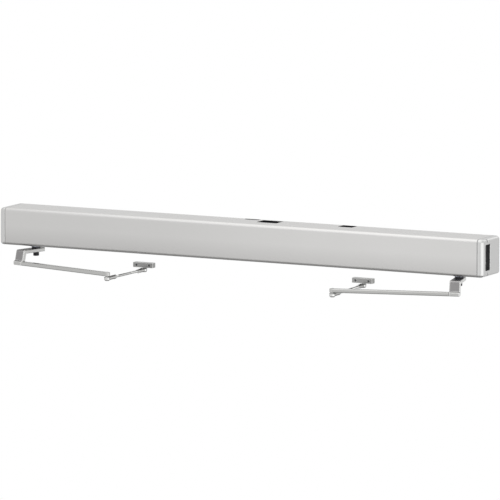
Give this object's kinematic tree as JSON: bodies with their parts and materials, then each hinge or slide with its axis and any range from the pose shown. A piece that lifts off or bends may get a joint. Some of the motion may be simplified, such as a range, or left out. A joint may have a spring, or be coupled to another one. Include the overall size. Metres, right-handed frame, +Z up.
{
  "type": "automatic door operator",
  "caption": "Long wall-mounted header for a pair of doors, with a geared motor, closing spring and ball-jointed gooseneck arm at each end and switches in one end cap.",
  "frame": {"origin": "middle of the header's wall face", "axes": "+X along the header to the viewer's right, -Y away from the wall, +Z up"},
  "size_m": [2.184, 0.3222, 0.2453],
  "materials": {
    "cover_aluminium": "clear-anodised, satin",
    "channel_aluminium": "clear-anodised, satin",
    "cap_metal": "satin silver lacquer on die-cast metal",
    "grommet_rubber": "matt black",
    "switch_plastic": "fine-textured black",
    "rocker_plastic": "smooth black",
    "sheet_zinc": "zinc-plated sheet",
    "board_green": "green solder mask",
    "terminal_plastic": "light grey moulding",
    "cable_black": "black PVC sheath",
    "screw_black": "black oxide",
    "cast_aluminium": "as cast, fine grain",
    "tube_steel": "drawn, bright",
    "spring_steel": "oil-tempered wire",
    "gear_steel": "machined, oiled",
    "spindle_steel": "black oxide, ground journals",
    "motor_steel": "black enamel",
    "arm_steel": "sprayed aluminium colour on forged steel",
    "joint_steel": "zinc-plated, bright"
  },
  "bodies": {
    "header": {"back_channel": "channel_aluminium", "left_end_cap": "cap_metal", "right_end_cap": "cap_metal", "middle_grommet": "grommet_rubber", "large_grommet": "grommet_rubber", "right_grommet": "grommet_rubber", "switch_housing": "switch_plastic", "switch_frames": "switch_plastic", "control_tray": "sheet_zinc", "control_board": "board_green", "power_supply": "sheet_zinc", "terminal_block": "terminal_plastic", "wiring_loom": "cable_black", "drive_screws": "screw_black", "left_gear_case": "cast_aluminium", "left_upper_case": "cast_aluminium", "left_spring_tube": "tube_steel", "left_closing_spring": "spring_steel", "left_spindle_bearings": "tube_steel", "left_motor": "motor_steel", "right_gear_case": "cast_aluminium", "right_upper_case": "cast_aluminium", "right_spring_tube": "tube_steel", "right_closing_spring": "spring_steel", "right_spindle_bearings": "tube_steel", "right_motor": "motor_steel"},
    "cover": {"front_cover": "cover_aluminium"},
    "power_switch": {"power_rocker": "rocker_plastic"},
    "mode_switch": {"mode_rocker": "rocker_plastic"},
    "left_arm": {"left_output_spindle": "spindle_steel", "left_output_gear": "gear_steel", "left_closer_pinion": "gear_steel", "left_gooseneck": "arm_steel", "left_arm_screw": "screw_black", "left_main_arm": "arm_steel", "left_elbow_stud": "joint_steel"},
    "left_intermediate_shaft": {"left_cluster_gear": "gear_steel"},
    "left_motor_shaft": {"left_motor_pinion": "gear_steel"},
    "left_rack": {"left_spring_rack": "gear_steel"},
    "left_forearm": {"left_elbow_socket": "joint_steel", "left_forearm_rod": "joint_steel"},
    "left_forearm_end": {"left_shoe_socket": "joint_steel"},
    "left_shoe": {"left_door_shoe": "arm_steel", "left_shoe_stud": "joint_steel"},
    "right_arm": {"right_output_spindle": "spindle_steel", "right_output_gear": "gear_steel", "right_closer_pinion": "gear_steel", "right_gooseneck": "arm_steel", "right_arm_screw": "screw_black", "right_main_arm": "arm_steel", "right_elbow_stud": "joint_steel"},
    "right_intermediate_shaft": {"right_cluster_gear": "gear_steel"},
    "right_motor_shaft": {"right_motor_pinion": "gear_steel"},
    "right_rack": {"right_spring_rack": "gear_steel"},
    "right_forearm": {"right_elbow_socket": "joint_steel", "right_forearm_rod": "joint_steel"},
    "right_forearm_end": {"right_shoe_socket": "joint_steel"},
    "right_shoe": {"right_door_shoe": "arm_steel", "right_shoe_stud": "joint_steel"}
  },
  "joints": [
    {"name": "cover_pull", "type": "slide", "parent": "header", "child": "cover", "axis": [0, -1, 0], "range_m": [0, 0.16]},
    {"name": "power_rocker_tilt", "type": "hinge", "parent": "header", "child": "power_switch", "pos_m": [1.075, -0.105, -0.03], "axis": [0, 1, 0], "range_deg": [-16, 0]},
    {"name": "mode_rocker_tilt", "type": "hinge", "parent": "header", "child": "mode_switch", "pos_m": [1.075, -0.105, 0.01], "axis": [0, 1, 0], "range_deg": [-8, 8]},
    {"name": "left_spindle_turn", "type": "hinge", "parent": "header", "child": "left_arm", "pos_m": [-0.958, -0.086, 0], "axis": [0, 0, 1], "range_deg": [0, 105], "stiffness_Nm_per_rad": 12, "springref_deg": -22.92},
    {"name": "left_intermediate_turn", "type": "hinge", "parent": "header", "child": "left_intermediate_shaft", "pos_m": [-0.893, -0.086, 0], "axis": [0, 0, 1], "range_deg": [-355, 5]},
    {"name": "left_motor_turn", "type": "hinge", "parent": "header", "child": "left_motor_shaft", "pos_m": [-0.86118, -0.05418, 0], "axis": [0, 0, 1], "continuous": true},
    {"name": "left_rack_slide", "type": "slide", "parent": "header", "child": "left_rack", "axis": [1, 0, 0], "range_m": [-0.0005, 0.038], "deforming": ["left_closing_spring"]},
    {"name": "left_elbow_swing", "type": "hinge", "parent": "left_arm", "child": "left_forearm", "pos_m": [-0.50768, -0.31019, -0.16], "axis": [0, 0, -1], "range_deg": [-30, 100]},
    {"name": "left_forearm_adjust", "type": "slide", "parent": "left_forearm", "child": "left_forearm_end", "axis": [0.0359, 0.9994, 0], "range_m": [-0.01, 0.01]},
    {"name": "left_shoe_swing", "type": "hinge", "parent": "left_forearm_end", "child": "left_shoe", "pos_m": [-0.497, -0.013, -0.16], "axis": [0, 0, -1], "range_deg": [-100, 100]},
    {"name": "right_spindle_turn", "type": "hinge", "parent": "header", "child": "right_arm", "pos_m": [0.958, -0.086, 0], "axis": [0, 0, -1], "range_deg": [0, 105], "stiffness_Nm_per_rad": 12, "springref_deg": -22.92},
    {"name": "right_intermediate_turn", "type": "hinge", "parent": "header", "child": "right_intermediate_shaft", "pos_m": [0.893, -0.086, 0], "axis": [0, 0, -1], "range_deg": [-355, 5]},
    {"name": "right_motor_turn", "type": "hinge", "parent": "header", "child": "right_motor_shaft", "pos_m": [0.86118, -0.05418, 0], "axis": [0, 0, -1], "continuous": true},
    {"name": "right_rack_slide", "type": "slide", "parent": "header", "child": "right_rack", "axis": [-1, 0, 0], "range_m": [-0.0005, 0.038], "deforming": ["right_closing_spring"]},
    {"name": "right_elbow_swing", "type": "hinge", "parent": "right_arm", "child": "right_forearm", "pos_m": [0.50768, -0.31019, -0.16], "axis": [0, 0, 1], "range_deg": [-30, 100]},
    {"name": "right_forearm_adjust", "type": "slide", "parent": "right_forearm", "child": "right_forearm_end", "axis": [-0.0359, 0.9994, 0], "range_m": [-0.01, 0.01]},
    {"name": "right_shoe_swing", "type": "hinge", "parent": "right_forearm_end", "child": "right_shoe", "pos_m": [0.497, -0.013, -0.16], "axis": [0, 0, 1], "range_deg": [-100, 100]}
  ],
  "couplings": [
    {"joint": "left_intermediate_turn", "follows": "left_spindle_turn", "ratio": -3.3333},
    {"joint": "left_motor_turn", "follows": "left_spindle_turn", "ratio": 13.333},
    {"joint": "left_rack_slide", "follows": "left_spindle_turn", "m_per_rad": 0.02},
    {"joint": "right_intermediate_turn", "follows": "right_spindle_turn", "ratio": -3.3333},
    {"joint": "right_motor_turn", "follows": "right_spindle_turn", "ratio": 13.333},
    {"joint": "right_rack_slide", "follows": "right_spindle_turn", "m_per_rad": 0.02}
  ]
}
